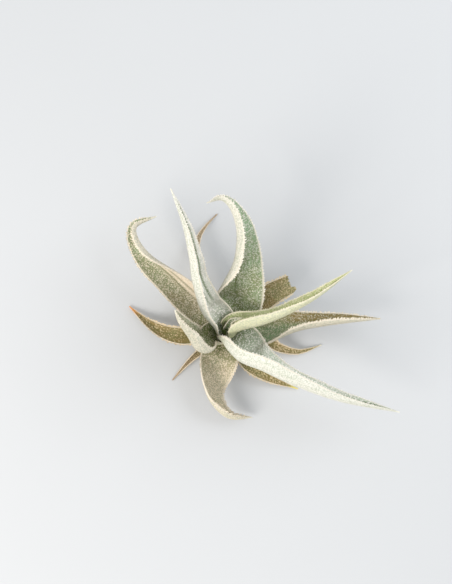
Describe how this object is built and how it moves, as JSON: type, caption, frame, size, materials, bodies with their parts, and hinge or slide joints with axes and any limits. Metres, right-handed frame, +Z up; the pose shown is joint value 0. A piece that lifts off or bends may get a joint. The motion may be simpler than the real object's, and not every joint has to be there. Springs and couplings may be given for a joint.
{
  "type": "xiphioides air plant",
  "caption": "Stemless air plant rosette of narrow, channelled, silvery leaves that curl back, loose and resting on a flat stem foot.",
  "frame": {"origin": "on the stem's axis, in the plane of its flat foot, which is the surface that the plant rests on", "axes": "+Z up along the stem's axis, +X towards the long right-hand leaves, +Y towards the upright leaf's tip"},
  "size_m": [0.1235, 0.1029, 0.0555],
  "materials": {
    "leaf_silver": "grey-green living leaf under a coat of fine white scales, matte, with white margins",
    "leaf_olive": "olive living leaf, thinner coat of white scales on the inside, matte",
    "leaf_dry": "dry or drying leaf, pinkish brown, papery and matte",
    "stem_bark": "dark woody stem and wiry roots, rough and matte"
  },
  "bodies": {
    "root": {"stem": "stem_bark", "leaf_heart": "leaf_silver", "leaf_rising_right": "leaf_silver", "leaf_upright": "leaf_silver", "leaf_long": "leaf_silver", "leaf_short": "leaf_silver", "leaf_broad": "leaf_silver", "leaf_hooked": "leaf_olive", "leaf_right": "leaf_olive", "leaf_curled": "leaf_olive", "leaf_torn": "leaf_olive", "leaf_left": "leaf_olive", "leaf_thin": "leaf_dry", "leaf_small_right": "leaf_olive", "leaf_small_front": "leaf_olive", "leaf_withered": "leaf_dry"}
  },
  "joints": []
}
